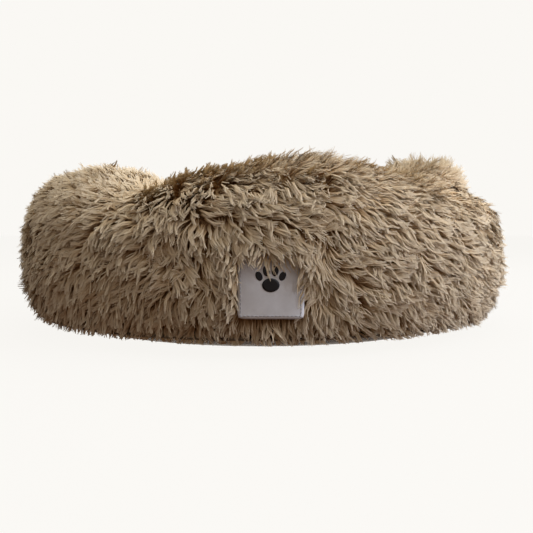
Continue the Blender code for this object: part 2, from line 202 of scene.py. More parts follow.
# %% The lamps
def area_light(name, place, aim, size, power, colour):
    """A round soft lamp of this diameter in metres and power in watts, aimed at a point."""
    data = bpy.data.lights.new(name, "AREA")
    data.shape = "DISK"
    data.size = size
    data.energy = power
    data.color = linear(colour)[:3]
    made = bpy.data.objects.new(name, data)
    bpy.context.scene.collection.objects.link(made)
    made.location = place
    made.rotation_euler = (Vector(aim) - Vector(place)).to_track_quat("-Z", "Y").to_euler()
    return made


area_light("overhead", (0.35, 0.1, 1.2), (0, 0, 0.08), 2.4, 16, "fffaf4")
area_light("right_window", (1.7, -0.5, 0.8), (0.1, 0, 0.07), 1.4, 34, "e4ebff")
area_light("front_fill", (0.4, -1.5, 0.5), (0, 0, 0.07), 1.8, 0.7, "ffd0a0")
print("three lamps are set")

# %% [markdown]
# ## The shape of the stuffed ring
# Seen in a slice, the ring is a rounded square. Going round, the stuffing is uneven: it bulges at
# the front and at the right, and a fold pinches it at the front left. One function gives any point
# of it, at a chosen depth under the tips of the pile. Backing, fur and combing all ask the same
# function, so they fit each other. A sculpted ring could look the same, but nothing else could then
# be placed on it by a bearing round the bed and a turn round the tube.

# %% The ring as a function
OUTER_RADIUS = 0.250
TUBE_HALF_WIDTH = 0.070
TUBE_MIDDLE = OUTER_RADIUS - TUBE_HALF_WIDTH
CREST = 0.150  # the crest's height between its lumps
SQUARE = 0.72  # the slice's roundness: 1 would be round, 0 square
PLUSH, PLUSH_FLOOR = 0.022, 0.004  # backing and pile together, and how high their inside starts
HEM_TURN, PAD_TURN = -45, 195  # degrees round the tube, from the hem to the pad's seam
# Each lump of stuffing: its bearing, the height it adds in metres and its spread in degrees.
LUMPS = (
    (12, 0.007, 18), (60, 0.008, 13), (-60, 0.005, 22),
    (-28, -0.016, 9), (100, -0.005, 16), (185, -0.004, 35),
)
SEAMS = (-28, 52, 142, 232)  # bearings of the joins, from which the four panels start
SIDES = ("front", "right", "rear", "left")


def crest_height(bearing):
    """The crest's height at a bearing: 0 degrees is the front, 90 the right."""
    height = CREST
    for middle, added, spread in LUMPS:
        away = (bearing - middle + 180) % 360 - 180
        height += added * math.exp(-((away / spread) ** 2))
    return height


def signed_power(value, power):
    return math.copysign(abs(value) ** power, value)


def ring_point(bearing, turn, inset):
    """A point inset under the tips. Turn 0 is outermost, 90 the crest and 180 the nest."""
    share = inset / PLUSH
    floor_level = PLUSH_FLOOR * share
    half_width = TUBE_HALF_WIDTH - inset
    belt = (CREST - inset + floor_level) / 2
    across, up = math.cos(math.radians(turn)), math.sin(math.radians(turn))
    power = SQUARE if up >= 0 else SQUARE + (1 - SQUARE) * share
    radius = TUBE_MIDDLE + half_width * signed_power(across, power)
    reach = crest_height(bearing) - inset - belt if up >= 0 else belt - floor_level
    level = belt + reach * signed_power(up, power)
    angle = math.radians(bearing)
    return Vector((radius * math.sin(angle), -radius * math.cos(angle), level))


def ring_normal(bearing, turn, inset):
    """The outward direction at that point, from two short steps along the surface."""
    along = ring_point(bearing + 0.5, turn, inset) - ring_point(bearing - 0.5, turn, inset)
    over = ring_point(bearing, turn + 1, inset) - ring_point(bearing, turn - 1, inset)
    return along.cross(over).normalized()


def spaced(first, last, steps):
    return [first + (last - first) * i / steps for i in range(steps + 1)]


print("the crest is", round(max(crest_height(b) for b in range(360)), 3), "m high at most")


# %% [markdown]
# ## What the fur is made of
# The pile is crimped polyester, matt all over. It is brown at the root, painted shade where little
# light gets in, beige along its length and pale at the tip, painted light. Each strand carries its
# own place in a colour chart: across the chart runs from root to tip, and up it runs from brown
# strands to pale ones. A noise in space would be simpler, but it would cut across the strands
# instead of following them.

# %% The fur's material
# To the eye: warm brown gaps, beige locks and pale ends, with no shine. The brown near the roots
# is painted shade in the gaps, and the pale ends are painted light.
STRAND_STOPS = (0.28, 0.55, 0.80)  # where along a strand its shade, body and pale colours lie
STRAND_TONES = (0.88, 1.08)  # the darkest and the palest strand, as a share of the colour


def fur_material(name, root, shade, body, pale, tip):
    """The pile's colours from root to tip, for each strand a little darker or paler."""
    material, tree, shader = start_material(name)
    chart = add(tree, "ShaderNodeUVMap", {"uv_map": "OFBake"})
    split = add(tree, "ShaderNodeSeparateXYZ", None, {0: chart})
    ramp = add(tree, "ShaderNodeValToRGB", None, {0: split.outputs[0]})
    stops = ramp.color_ramp.elements
    # Root and shade stops are painted shade, and the pale and tip stops are painted light.
    stops[0].color, stops[1].color = linear(root), linear(tip)
    for place, colour in zip(STRAND_STOPS, (shade, body, pale)):
        stops.new(place).color = linear(colour)
    darkest, palest = STRAND_TONES
    strength = add(
        tree, "ShaderNodeMapRange", None, {0: split.outputs[1], 3: darkest, 4: palest}
    )
    tinted = add(
        tree, "ShaderNodeMix", {"data_type": "RGBA", "blend_type": "MULTIPLY"},
        {0: 1.0, 6: ramp, 7: strength},
    )
    tree.links.new(tinted.outputs[2], shader.inputs["Base Color"])
    shader.inputs["Roughness"].default_value = 0.9
    shader.inputs["Specular IOR Level"].default_value = 0.0
    return material


# The brown root and shade colours are painted shade; the pale and tip colours are painted light.
long_pile = fur_material(
    "crimped polyester pile", "95663d", "bb9a70", "d4bc97", "dcc9a8", "e2d2b6"
)
print(long_pile.name, "is ready")

# %% The backing's material
# To the eye: a mottled brown that fills the gaps between locks, like pile too deep to make out.
# Being darker than the pile, this brown is painted shade in the gaps.
TUFT = 0.004  # metres; drawn coarser than the knit, which would be too fine to see


def undercoat_material():
    """The knitted backing and the short fibres on it, in small dark and light tufts."""
    material, tree, shader = start_material("knitted pile backing")
    place = add(tree, "ShaderNodeTexCoord")
    tufts = add(
        tree, "ShaderNodeTexNoise", None,
        {"Vector": place.outputs["Object"], "Scale": 1 / TUFT, "Detail": 4.0, "Roughness": 0.6},
    )
    ramp = add(tree, "ShaderNodeValToRGB", None, {0: tufts})
    # Both browns, darker than the pile, are painted shade for the gaps; the tufts vary at random.
    ramp.color_ramp.elements[0].color = linear("85653f")
    ramp.color_ramp.elements[0].position = 0.3
    ramp.color_ramp.elements[1].color = linear("b4976c")
    ramp.color_ramp.elements[1].position = 0.75
    bump = add(tree, "ShaderNodeBump", None, {"Strength": 0.8, "Distance": 0.002, "Height": tufts})
    tree.links.new(ramp.outputs[0], shader.inputs["Base Color"])
    tree.links.new(bump.outputs[0], shader.inputs["Normal"])
    shader.inputs["Roughness"].default_value = 0.95
    shader.inputs["Specular IOR Level"].default_value = 0.1
    return material


backing = undercoat_material()
print(backing.name, "is ready")

# %% [markdown]
# ## The fur tree
# A fur coat is one strand made a hundred thousand times. Geometry Nodes scatter points on the
# cloth, put one narrow ribbon on each, and then bend all the ribbons at once. Each one leans from
# the cloth's normal towards the way the fur was combed, waves a little with its neighbours, and has
# its tip drawn to the middle of its lock, which is what makes real pile fall into curls and points.
# Hair curves would do the same, but they stay curves. Ribbons are plain mesh, which any program can
# show. Real fibres are far thinner, so each ribbon is drawn coarse and stands for a bundle.

# %% Words for the nodes used most
MATH, VECTOR, READ = "ShaderNodeMath", "ShaderNodeVectorMath", "GeometryNodeInputNamedAttribute"
OPERATIONS = (
    "ADD", "SUBTRACT", "MULTIPLY", "MULTIPLY_ADD", "SCALE", "DOT_PRODUCT", "CROSS_PRODUCT",
    "NORMALIZE", "MAXIMUM",
)
PLUS, MINUS, TIMES, TIMES_PLUS, SCALE, DOT, CROSS, UNIT, LARGEST = (
    {"operation": word} for word in OPERATIONS
)
HALF_GREY = (0.5, 0.5, 0.5)  # taken off a random colour to leave a random direction


def socket_in(tree, name, kind, value=None):
    made = tree.interface.new_socket(name, in_out="INPUT", socket_type=kind)
    if value is not None:
        made.default_value = value
    return made


def open_tree(name, takes, sizes, material, gives):
    """A tree of nodes with one shape in and one out, named sizes, and a material."""
    tree = bpy.data.node_groups.new(name, "GeometryNodeTree")
    socket_in(tree, takes, "NodeSocketGeometry")
    for word, default in sizes:
        socket_in(tree, word, "NodeSocketFloat", default)
    socket_in(tree, material, "NodeSocketMaterial")
    tree.interface.new_socket(gives, in_out="OUTPUT", socket_type="NodeSocketGeometry")
    return tree, add(tree, "NodeGroupInput").outputs


def close_tree(tree, planting, material):
    """Puts a shape on every point, as the planting says, and gives out one smooth plain mesh."""
    planted = add(tree, "GeometryNodeInstanceOnPoints", None, planting)
    real = add(tree, "GeometryNodeRealizeInstances", None, {"Geometry": planted})
    real = add(tree, "GeometryNodeSetShadeSmooth", None, {"Geometry": real})
    last = add(tree, "GeometryNodeSetMaterial", None, {"Geometry": real, "Material": material})
    add(tree, "NodeGroupOutput", None, {0: last})
    return tree


print(len(OPERATIONS), "operations have short names")


# %% Where the strands stand, and which way each one goes
# Each kind of clump: its size, how hard it pulls tips together, how far it strays from the comb.
CLUMPS = (("Lock size", "Lock pull", 3.6), ("Tuft size", "Tuft pull", 5.0))
OWN_LENGTH, LOCK_LENGTH = (0.75, 1.08), (0.80, 1.14)  # shortest and longest, as a share
LEAN_SPREAD = 0.5  # radians between the flattest and the steepest lock, and the same for tufts
LOCK_TONE, OWN_TONE, TUFT_TONE = 0.42, 0.22, 0.34  # shares of a strand's tone
OWN_WAVE = 0.15  # how far a strand's curl may be out of step with its lock's
LABEL_REACH = 0.5  # depth counts half, so the bare patch is a flat box behind the label


def plant_strands(tree, value):
    """Points on the cloth, each carrying its strand's direction, length, lean, lock and tone."""
    roots = add(
        tree, "GeometryNodeDistributePointsOnFaces", {"distribute_method": "RANDOM"},
        {"Mesh": value["Cloth"], "Density": value["Strands per m2"], "Seed": value["Seed"]},
    )
    up, root = roots.outputs["Normal"], add(tree, "GeometryNodeInputPosition")

    # No strand starts behind the label.
    away = add(tree, VECTOR, MINUS, {0: root, 1: value["Bare middle"]})
    away = add(tree, VECTOR, {"operation": "ABSOLUTE"}, {0: away})
    away = add(tree, "ShaderNodeSeparateXYZ", None, {0: away})
    depth = add(tree, MATH, TIMES, {0: away.outputs[1], 1: LABEL_REACH})
    furthest = add(tree, MATH, LARGEST, {0: away.outputs[0], 1: away.outputs[2]})
    furthest = add(tree, MATH, LARGEST, {0: furthest, 1: depth})
    bare = add(
        tree, "FunctionNodeCompare", {"data_type": "FLOAT", "operation": "LESS_THAN"},
        {0: furthest, 1: value["Bare half size"]},
    )
    points = add(
        tree, "GeometryNodeDeleteGeometry", {"domain": "POINT"},
        {"Geometry": roots.outputs["Points"], "Selection": bare},
    )

    # Locks and tufts are the cells of two foam-like patterns, one small and one large. A strand is
    # drawn towards the middle of each, along the cloth.
    luck = add(
        tree, "FunctionNodeRandomValue", {"data_type": "FLOAT_VECTOR"},
        {0: (0.0, 0.0, 0.0), 1: (1.0, 1.0, 1.0), "Seed": value["Seed"]},
    )
    draw, mess, cells = None, add(tree, VECTOR, MINUS, {0: luck, 1: HALF_GREY}), []
    for size, pull, untidy in CLUMPS:
        scale = add(tree, MATH, {"operation": "DIVIDE"}, {0: 1.0, 1: value[size]})
        cell = add(
            tree, "ShaderNodeTexVoronoi", {"voronoi_dimensions": "3D"},
            {"Vector": root, "Scale": scale},
        )
        way = add(tree, VECTOR, MINUS, {0: cell.outputs["Position"], 1: root})
        rise = add(tree, VECTOR, DOT, {0: way, 1: up})
        rise = add(tree, VECTOR, SCALE, {0: up, "Scale": rise.outputs["Value"]})
        way = add(tree, VECTOR, MINUS, {0: way, 1: rise})
        way = add(tree, VECTOR, SCALE, {0: way, "Scale": value[pull]})
        draw = add(tree, VECTOR, PLUS, {0: draw, 1: way}) if draw else way
        turn = add(tree, VECTOR, MINUS, {0: cell.outputs["Color"], 1: HALF_GREY})
        turn = add(tree, VECTOR, SCALE, {0: turn, "Scale": untidy})
        mess = add(tree, VECTOR, PLUS, {0: mess, 1: turn})
        cells.append(add(tree, "ShaderNodeSeparateXYZ", None, {0: cell.outputs["Color"]}))
    lock, tuft = cells
    own = add(tree, "ShaderNodeSeparateXYZ", None, {0: luck})

    # The combed way, untidied, and laid flat on the cloth.
    stray = add(tree, READ, {"data_type": "FLOAT"}, {"Name": "pile_mess"})
    mess = add(tree, VECTOR, SCALE, {0: mess, "Scale": stray})
    combed = add(tree, READ, {"data_type": "FLOAT_VECTOR"}, {"Name": "combed"})
    way = add(tree, VECTOR, PLUS, {0: combed, 1: mess})
    rise = add(tree, VECTOR, DOT, {0: way, 1: up})
    rise = add(tree, VECTOR, SCALE, {0: up, "Scale": rise.outputs["Value"]})
    flat = add(tree, VECTOR, MINUS, {0: way, 1: rise})
    flat = add(tree, VECTOR, UNIT, {0: flat})

    # Length, lean and tone vary from lock to lock, and a little from strand to strand.
    length = add(tree, READ, {"data_type": "FLOAT"}, {"Name": "pile_length"})
    for chance, (low, high) in ((own.outputs[0], OWN_LENGTH), (lock.outputs[0], LOCK_LENGTH)):
        change = add(tree, "ShaderNodeMapRange", None, {0: chance, 3: low, 4: high})
        length = add(tree, MATH, TIMES, {0: length, 1: change})
    lean = add(tree, READ, {"data_type": "FLOAT"}, {"Name": "pile_lean"})
    for chance in (lock.outputs[1], tuft.outputs[1]):
        change = add(
            tree, "ShaderNodeMapRange", None, {0: chance, 3: -LEAN_SPREAD / 2, 4: LEAN_SPREAD / 2}
        )
        lean = add(tree, MATH, PLUS, {0: lean, 1: change})
    tone = add(tree, MATH, TIMES, {0: lock.outputs[2], 1: LOCK_TONE})
    for chance, share in ((own.outputs[1], OWN_TONE), (tuft.outputs[2], TUFT_TONE)):
        tone = add(tree, MATH, TIMES_PLUS, {0: chance, 1: share, 2: tone})
    wave = add(tree, MATH, TIMES_PLUS, {0: own.outputs[2], 1: OWN_WAVE, 2: lock.outputs[0]})
    facts = (
        ("up", "FLOAT_VECTOR", up), ("root", "FLOAT_VECTOR", root.outputs[0]),
        ("flat", "FLOAT_VECTOR", flat.outputs[0]), ("draw", "FLOAT_VECTOR", draw.outputs[0]),
        ("length", "FLOAT", length.outputs[0]), ("lean", "FLOAT", lean.outputs[0]),
        ("tone", "FLOAT", tone.outputs[0]), ("wave", "FLOAT", wave.outputs[0]),
        ("roll", "FLOAT", own.outputs[0]),
    )
    for name, kind, fact in facts:
        points = add(
            tree, "GeometryNodeStoreNamedAttribute", {"data_type": kind, "domain": "POINT"},
            {"Geometry": points, "Name": name, "Value": fact},
        )
    return points, [(name, kind) for name, kind, _ in facts]


# %% How a strand bends
ROOT_LEAN = 0.4  # the share of its lean that a strand has at its root
GATHER = 1.3  # how late along its length a strand is drawn to its lock: 1 is evenly
OVER_CURL = 0.7  # the curl up and down, as a share of the curl sideways
BLUNT, BLUNT_FROM = 0.5, 4.0  # how much thinner a strand is at its tip, and how late it thins
ROLL = 0.6  # how far a ribbon may be turned about its own length, in radians
ANYWHERE = -9.0  # metres: a limit on X and Y that nothing reaches
CHART_EDGE = 0.01  # the colour chart's unused border
CHART_TONES, CHART_WIDTH = 0.96, 0.004  # the share of it all tones take, and one ribbon takes


def bend_strands(tree, value, coat, names):
    """Moves every corner of every ribbon to its place along its own bent, waving line."""
    fact = {
        name: add(tree, READ, {"data_type": kind}, {"Name": name})
        for name, kind in names + [("blade", "FLOAT_VECTOR"), ("pile_floor", "FLOAT")]
    }
    corner = add(tree, "ShaderNodeSeparateXYZ", None, {0: fact["blade"]})
    t = add(tree, MATH, PLUS, {0: corner.outputs[1], 1: 0.5})
    reach = add(tree, MATH, TIMES, {0: fact["length"], 1: t})

    # The strand leaves the cloth steeply and leans over more towards its tip.
    share = add(tree, MATH, TIMES_PLUS, {0: t, 1: 1 - ROOT_LEAN, 2: ROOT_LEAN})
    lean = add(tree, MATH, TIMES, {0: fact["lean"], 1: share})
    cosine, sine = (add(tree, MATH, {"operation": word}, {0: lean}) for word in ("COSINE", "SINE"))
    rise = add(tree, VECTOR, SCALE, {0: fact["up"], "Scale": cosine})
    run = add(tree, VECTOR, SCALE, {0: fact["flat"], "Scale": sine})
    heading = add(tree, VECTOR, PLUS, {0: rise, 1: run})
    step = add(tree, VECTOR, SCALE, {0: heading, "Scale": reach})
    spine = add(tree, VECTOR, PLUS, {0: fact["root"], 1: step})
    pull = add(tree, MATH, {"operation": "POWER"}, {0: t, 1: GATHER})
    drawn = add(tree, VECTOR, SCALE, {0: fact["draw"], "Scale": pull})
    spine = add(tree, VECTOR, PLUS, {0: spine, 1: drawn})

    # The crimp: a slow spiral, which the strands of one lock share.
    across = add(tree, VECTOR, CROSS, {0: fact["flat"], 1: fact["up"]})
    rise = add(tree, VECTOR, SCALE, {0: fact["up"], "Scale": sine})
    run = add(tree, VECTOR, SCALE, {0: fact["flat"], "Scale": cosine})
    over = add(tree, VECTOR, MINUS, {0: rise, 1: run})
    turned = add(tree, MATH, TIMES, {0: t, 1: value["Crimp"]})
    angle = add(tree, MATH, TIMES_PLUS, {0: fact["wave"], 1: 2 * math.pi, 2: turned})
    size = add(tree, MATH, TIMES, {0: reach, 1: value["Curl"]})
    for word, side, share in (("SINE", across, 1.0), ("COSINE", over, OVER_CURL)):
        swing = add(tree, MATH, {"operation": word}, {0: angle})
        swing = add(tree, MATH, TIMES, {0: swing, 1: size})
        swing = add(tree, MATH, TIMES, {0: swing, 1: share})
        swing = add(tree, VECTOR, SCALE, {0: side, "Scale": swing})
        spine = add(tree, VECTOR, PLUS, {0: spine, 1: swing})

    # Its own weight bends it down, more so towards the tip.
    sag = add(tree, MATH, TIMES, {0: reach, 1: t})
    sag = add(tree, MATH, TIMES, {0: sag, 1: value["Droop"]})
    sag = add(tree, VECTOR, SCALE, {0: (0.0, 0.0, -1.0), "Scale": sag})
    spine = add(tree, VECTOR, PLUS, {0: spine, 1: sag})

    # The ribbon's width: full for most of the way, then a blunt point.
    slim = add(tree, MATH, {"operation": "POWER"}, {0: t, 1: BLUNT_FROM})
    slim = add(tree, MATH, TIMES_PLUS, {0: slim, 1: -BLUNT, 2: 1.0})
    half_width = add(tree, MATH, TIMES, {0: value["Strand width"], 1: 0.5})
    girth = add(tree, MATH, TIMES, {0: slim, 1: half_width})
    girth = add(tree, MATH, TIMES, {0: girth, 1: corner.outputs[0]})
    roll = add(tree, "ShaderNodeMapRange", None, {0: fact["roll"], 3: -ROLL, 4: ROLL})
    for word, side in (("COSINE", across), ("SINE", over)):
        out = add(tree, MATH, {"operation": word}, {0: roll})
        out = add(tree, MATH, TIMES, {0: out, 1: girth})
        out = add(tree, VECTOR, SCALE, {0: side, "Scale": out})
        spine = add(tree, VECTOR, PLUS, {0: spine, 1: out})

    # Nothing goes under the floor, nor down into the zip's way.
    lowest = add(
        tree, "ShaderNodeCombineXYZ", None, {0: ANYWHERE, 1: ANYWHERE, 2: fact["pile_floor"]}
    )
    spine = add(tree, VECTOR, LARGEST, {0: spine, 1: lowest})
    coat = add(tree, "GeometryNodeSetPosition", None, {"Geometry": coat, "Position": spine})

    # A ribbon stands for a bundle of round fibres, so it is shaded half by the cloth's normal.
    smooth = add(tree, VECTOR, SCALE, {0: fact["up"], "Scale": value["Softness"]})
    smooth = add(tree, VECTOR, PLUS, {0: add(tree, "GeometryNodeInputNormal"), 1: smooth})
    smooth = add(tree, VECTOR, UNIT, {0: smooth})
    coat = add(tree, "GeometryNodeSetShadeSmooth", None, {"Geometry": coat})
    coat = add(
        tree, "GeometryNodeSetMeshNormal", {"mode": "FREE", "domain": "POINT"},
        {0: coat, 1: smooth},
    )

    # The colour chart: root to tip one way, the strand's own tone the other.
    tone = add(tree, MATH, TIMES_PLUS, {0: fact["tone"], 1: CHART_TONES, 2: 2 * CHART_EDGE})
    tone = add(tree, MATH, TIMES_PLUS, {0: corner.outputs[0], 1: CHART_WIDTH, 2: tone})
    along = add(tree, MATH, TIMES_PLUS, {0: t, 1: 1 - 2 * CHART_EDGE, 2: CHART_EDGE})
    chart = add(tree, "ShaderNodeCombineXYZ", None, {0: along, 1: tone})
    return add(
        tree, "GeometryNodeStoreNamedAttribute", {"data_type": "FLOAT2", "domain": "CORNER"},
        {"Geometry": coat, "Name": "OFBake", "Value": chart},
    )


# %% The whole fur tree
def make_fur_tree():
    tree = bpy.data.node_groups.new("grow_fur", "GeometryNodeTree")
    socket_in(tree, "Cloth", "NodeSocketGeometry")
    for name, default in (
        ("Strands per m2", 640000.0), ("Strand width", 0.0009), ("Lock size", 0.0045),
        ("Lock pull", 0.68), ("Tuft size", 0.017), ("Tuft pull", 0.3), ("Curl", 0.15),
        ("Crimp", 5.2), ("Droop", 0.12), ("Softness", 0.9),
    ):
        socket_in(tree, name, "NodeSocketFloat", default)
    socket_in(tree, "Bare middle", "NodeSocketVector", (0.0, 0.0, -1.0))
    socket_in(tree, "Bare half size", "NodeSocketFloat", 0.01)
    socket_in(tree, "Seed", "NodeSocketInt", 1)
    socket_in(tree, "Fur", "NodeSocketMaterial")
    tree.interface.new_socket("Fur", in_out="OUTPUT", socket_type="NodeSocketGeometry")
    value = add(tree, "NodeGroupInput").outputs
    points, names = plant_strands(tree, value)

    # One ribbon: four flat faces, X across it and Y the way along the strand.
    blade = add(
        tree, "GeometryNodeMeshGrid", None,
        {"Size X": 2.0, "Size Y": 1.0, "Vertices X": 2, "Vertices Y": 5},
    )
    here = add(tree, "GeometryNodeInputPosition")
    blade = add(
        tree, "GeometryNodeStoreNamedAttribute", {"data_type": "FLOAT_VECTOR", "domain": "POINT"},
        {"Geometry": blade, "Name": "blade", "Value": here.outputs[0]},
    )
    planted = add(tree, "GeometryNodeInstanceOnPoints", None, {"Points": points, "Instance": blade})
    coat = add(tree, "GeometryNodeRealizeInstances", None, {"Geometry": planted})
    coat = bend_strands(tree, value, coat, names)
    used = [name for name, _ in names]
    for name in used + ["blade", "combed", "pile_length", "pile_lean", "pile_mess", "pile_floor"]:
        coat = add(tree, "GeometryNodeRemoveAttribute", None, {"Geometry": coat, "Name": name})
    coat = add(tree, "GeometryNodeSetMaterial", None, {"Geometry": coat, "Material": value["Fur"]})
    add(tree, "NodeGroupOutput", None, {"Fur": coat})
    return tree


def apply_tree(obj, tree, name, **values):
    """Runs a tree on an object and keeps the result as a plain mesh in a new object."""
    step = obj.modifiers.new("grow", "NODES")
    step.node_group = tree
    for item in tree.interface.items_tree:
        key = item.name.replace(" ", "_")
        if item.item_type == "SOCKET" and item.in_out == "INPUT" and key in values:
            step[item.identifier] = values[key]
    graph = bpy.context.evaluated_depsgraph_get()
    mesh = bpy.data.meshes.new_from_object(obj.evaluated_get(graph), depsgraph=graph)
    obj.modifiers.remove(step)
    mesh.name = name
    made = bpy.data.objects.new(name, mesh)
    bpy.context.scene.collection.objects.link(made)
    return made


fur_tree = make_fur_tree()
print("the fur tree has", len(fur_tree.nodes), "nodes")

# %% [markdown]
# ## Combing the ring
# Fur looks alive when it was combed by hand: on the right it lies along the ring, in the middle it
# is tangled, on the left it falls outwards, and along the crest it stands up. The direction, the
# length and the lean of the pile are worked out for each corner of the cloth and stored on it. A
# texture painted by hand could hold the same, but rules fit a ring of any size.

# %% The comb
LABEL_LOW, LABEL_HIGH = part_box("label_patch")
LABEL_MIDDLE = (LABEL_LOW + LABEL_HIGH) / 2
LABEL_HALF = (LABEL_HIGH.x - LABEL_LOW.x) / 2
ZIP_ENDS, ZIP_CLEARANCE = (118, 242), 0.0176  # bearings, and metres above the floor
BACKING_INSET, PRESSED_INSET = 0.0110, 0.0135  # the backing's depth, and what pressing adds
PILE_LENGTH, PILE_UNEVEN = 0.0165, 0.0025  # in metres, and how far a patch may be from it
SIDE_LEAN, CREST_LEAN = 55, 40  # degrees from upright
LEFT_LEAN, HEM_LEAN, PRESSED_LEAN = -9, -24, 18  # how many degrees more it leans there
PARTING, PARTING_DRIFT = -16, -12  # the parting's bearing, and how far round it moves at the crest
LOWEST = 0.009  # metres above the floor; above the zip it is ZIP_CLEARANCE
# Along the crest: a tuft's bearing, its spread, the metres it adds and the degrees it stands up.
CREST_TUFTS = (
    (11, 12, 0.0070, 6), (54, 6, 0.0088, 19), (-46, 9, 0.0035, 0),
    (36, 9, -0.0030, -5), (82, 16, -0.0040, 0), (-20, 16, 0.0, -12),
)


def smooth_step(value, low, high):
    x = min(1.0, max(0.0, (value - low) / (high - low)))
    return x * x * (3 - 2 * x)


def bump(value, middle, spread):
    return math.exp(-(((value - middle) / spread) ** 2))


def root_inset(bearing, turn):
    """How deep under the tips the pile is rooted: it is pressed flat at the right shoulder."""
    shoulder = smooth_step(turn, 28, 52) * (1 - smooth_step(turn, 62, 80))
    return BACKING_INSET + PRESSED_INSET * bump(bearing % 360, 78, 28) * shoulder


def comb_at(bearing, turn, at, normal):
    """The pile at a place: combed direction, length, lean, untidiness and lowest level."""
    theta = (bearing + 180) % 360 - 180
    along = ring_point(bearing + 0.5, turn, PLUSH) - ring_point(bearing - 0.5, turn, PLUSH)
    along.normalize()
    down = ring_point(bearing, turn - 1, PLUSH) - ring_point(bearing, turn + 1, PLUSH)
    down.normalize()
    if turn > 90:
        down = -down

    # Where this is on the ring. Each of these goes from 0, elsewhere, to 1, fully there.
    crest = smooth_step(turn, 45, 80) * (1 - smooth_step(turn, 100, 130))
    shoulder = smooth_step(turn, 12, 42) * (1 - crest)
    hem = 1 - smooth_step(turn, -45, -12)
    rear = smooth_step(abs(theta), 110, 180)
    left = 1 - smooth_step(theta, -52, -18) if theta > -120 else smooth_step(theta, -180, -120)
    tangle = bump(theta, 0, 20) + 0.8 * left
    pressed = bump(theta, 82, 30) * shoulder

    # Which way: to both sides of the parting, outwards, and down at the hem.
    parting = PARTING + PARTING_DRIFT * smooth_step(turn, 20, 80)
    sweep = 0.95 * math.tanh((theta - parting) / 14) * (1 - rear)
    sweep *= 0.75 if theta < -30 else 1.0
    fall = (0.55 if theta > -10 else 0.8) * (1 - 0.75 * crest) + 0.8 * hem
    swirl = noise.noise(at * 14 + Vector((3.1, 7.7, 1.3))) * (1.4 + 1.4 * tangle)

    # Beside the label it lies down and aside, so that it frames the label.
    away = at - LABEL_MIDDLE
    near = 1 - smooth_step(max(abs(away.x), abs(away.z)) - LABEL_HALF, 0.002, 0.020)
    if near > 0 and at.y < 0:
        beside = -0.45 if abs(away.x) > abs(away.z) - 0.004 else 0.12
        sweep += (beside - sweep) * near
        fall += (1.0 - fall) * near
        swirl *= 1 - 0.8 * near
    way = along * sweep + down * fall + along.cross(normal) * swirl * 0.3 + along * swirl * 0.35

    # How long it is and how far it leans.
    length = PILE_LENGTH + PILE_UNEVEN * noise.noise(at * 30)
    side_lean = SIDE_LEAN + LEFT_LEAN * left + HEM_LEAN * hem
    lean = math.radians(side_lean) * (1 - crest) + math.radians(CREST_LEAN) * crest
    for middle, spread, longer, steeper in CREST_TUFTS:
        share = bump(theta, middle, spread) * crest
        length += longer * share
        lean -= math.radians(steeper) * share
    length *= (1 - 0.08 * left) * (1 - 0.10 * hem) * (1 - 0.35 * pressed)
    lean += math.radians(PRESSED_LEAN) * pressed + 0.22 * noise.noise(at * 22 + Vector((9, 2, 5)))
    if turn > 120:
        length *= 0.85
    untidy = 0.19 + 0.09 * min(1.0, tangle)

    # Over the zip the pile is shorn short, and stays above the slider's way.
    behind = bearing % 360
    first, last = ZIP_ENDS
    over_zip = smooth_step(behind, first - 5, first) * (1 - smooth_step(behind, last, last + 5))
    length *= 1 - 0.6 * hem * over_zip
    lowest = LOWEST + (ZIP_CLEARANCE - LOWEST) * over_zip
    return way.normalized(), length, lean, untidy * (1 - 0.6 * max(0.0, near)), lowest


print("the pile is combed round a label", round(2000 * LABEL_HALF), "mm wide")

# %% [markdown]
# ## The four plush panels
# Each panel is a curved shell of knitted backing, and the fur grows on its outside. The fur is made
# in bands, from the foot over the face and the crown to the nest, so that no piece gets too heavy.
# The panels meet at the sewn joins, where a narrow gap leaves room for the seam allowance.

# %% Shells and fur
BACKING_INSIDE = 0.0218  # the depth of the backing's inner side
BACKING_UNEVEN = 0.0012
BEARING_STEP, TURN_PIECES = 2.0, 48
SEAM_GAP = 0.3  # degrees between a panel's edge and its join
NEST_SHARE, PAD_SHARE = 0.85, 0.7  # how dense the fur is there, where it is seen less
BANDS = (("foot", HEM_TURN, 0), ("face", 0, 55), ("crown", 55, 118), ("nest", 118, PAD_TURN))


def shell_mesh(name, first, last):
    """A closed shell between two depths under the tips."""
    steps = round((last - first) / BEARING_STEP)
    bearings = spaced(first, last, steps)
    turns = spaced(HEM_TURN, PAD_TURN, TURN_PIECES)
    points, faces = [], []
    for bearing in bearings:
        for turn in turns:
            inset = root_inset(bearing, turn)
            at = ring_point(bearing, turn, inset)
            at += ring_normal(bearing, turn, inset) * BACKING_UNEVEN * noise.noise(at * 60)
            points.append(at)
        points += [ring_point(bearing, turn, BACKING_INSIDE) for turn in reversed(turns)]
    row = 2 * len(turns)
    for i in range(len(bearings) - 1):
        for j in range(row):
            k = (j + 1) % row
            faces.append((i * row + j, (i + 1) * row + j, (i + 1) * row + k, i * row + k))
    faces.append(tuple(range(row)))
    faces.append(tuple(reversed(range((len(bearings) - 1) * row, len(bearings) * row))))
    made = mesh_object(name, points, faces, backing)
    fix_normals(made)
    return made


def combed_cloth(first, last, low, high):
    """The patch of cloth that one band of fur grows on, with its combing stored on it."""
    bearings = spaced(first, last, round((last - first) / BEARING_STEP))
    turns = spaced(low, high, max(6, round((high - low) / 5)))
    points, faces, combing = [], [], []
    for bearing in bearings:
        for turn in turns:
            inset = root_inset(bearing, turn)
            points.append(ring_point(bearing, turn, inset))
            combing.append(comb_at(bearing, turn, points[-1], ring_normal(bearing, turn, inset)))
    row = len(turns)
    for i in range(len(bearings) - 1):
        for j in range(row - 1):
            faces.append((i * row + j, (i + 1) * row + j, (i + 1) * row + j + 1, i * row + j + 1))
    made = mesh_object("cloth", points, faces)
    store_combing(made.data, combing)
    return made


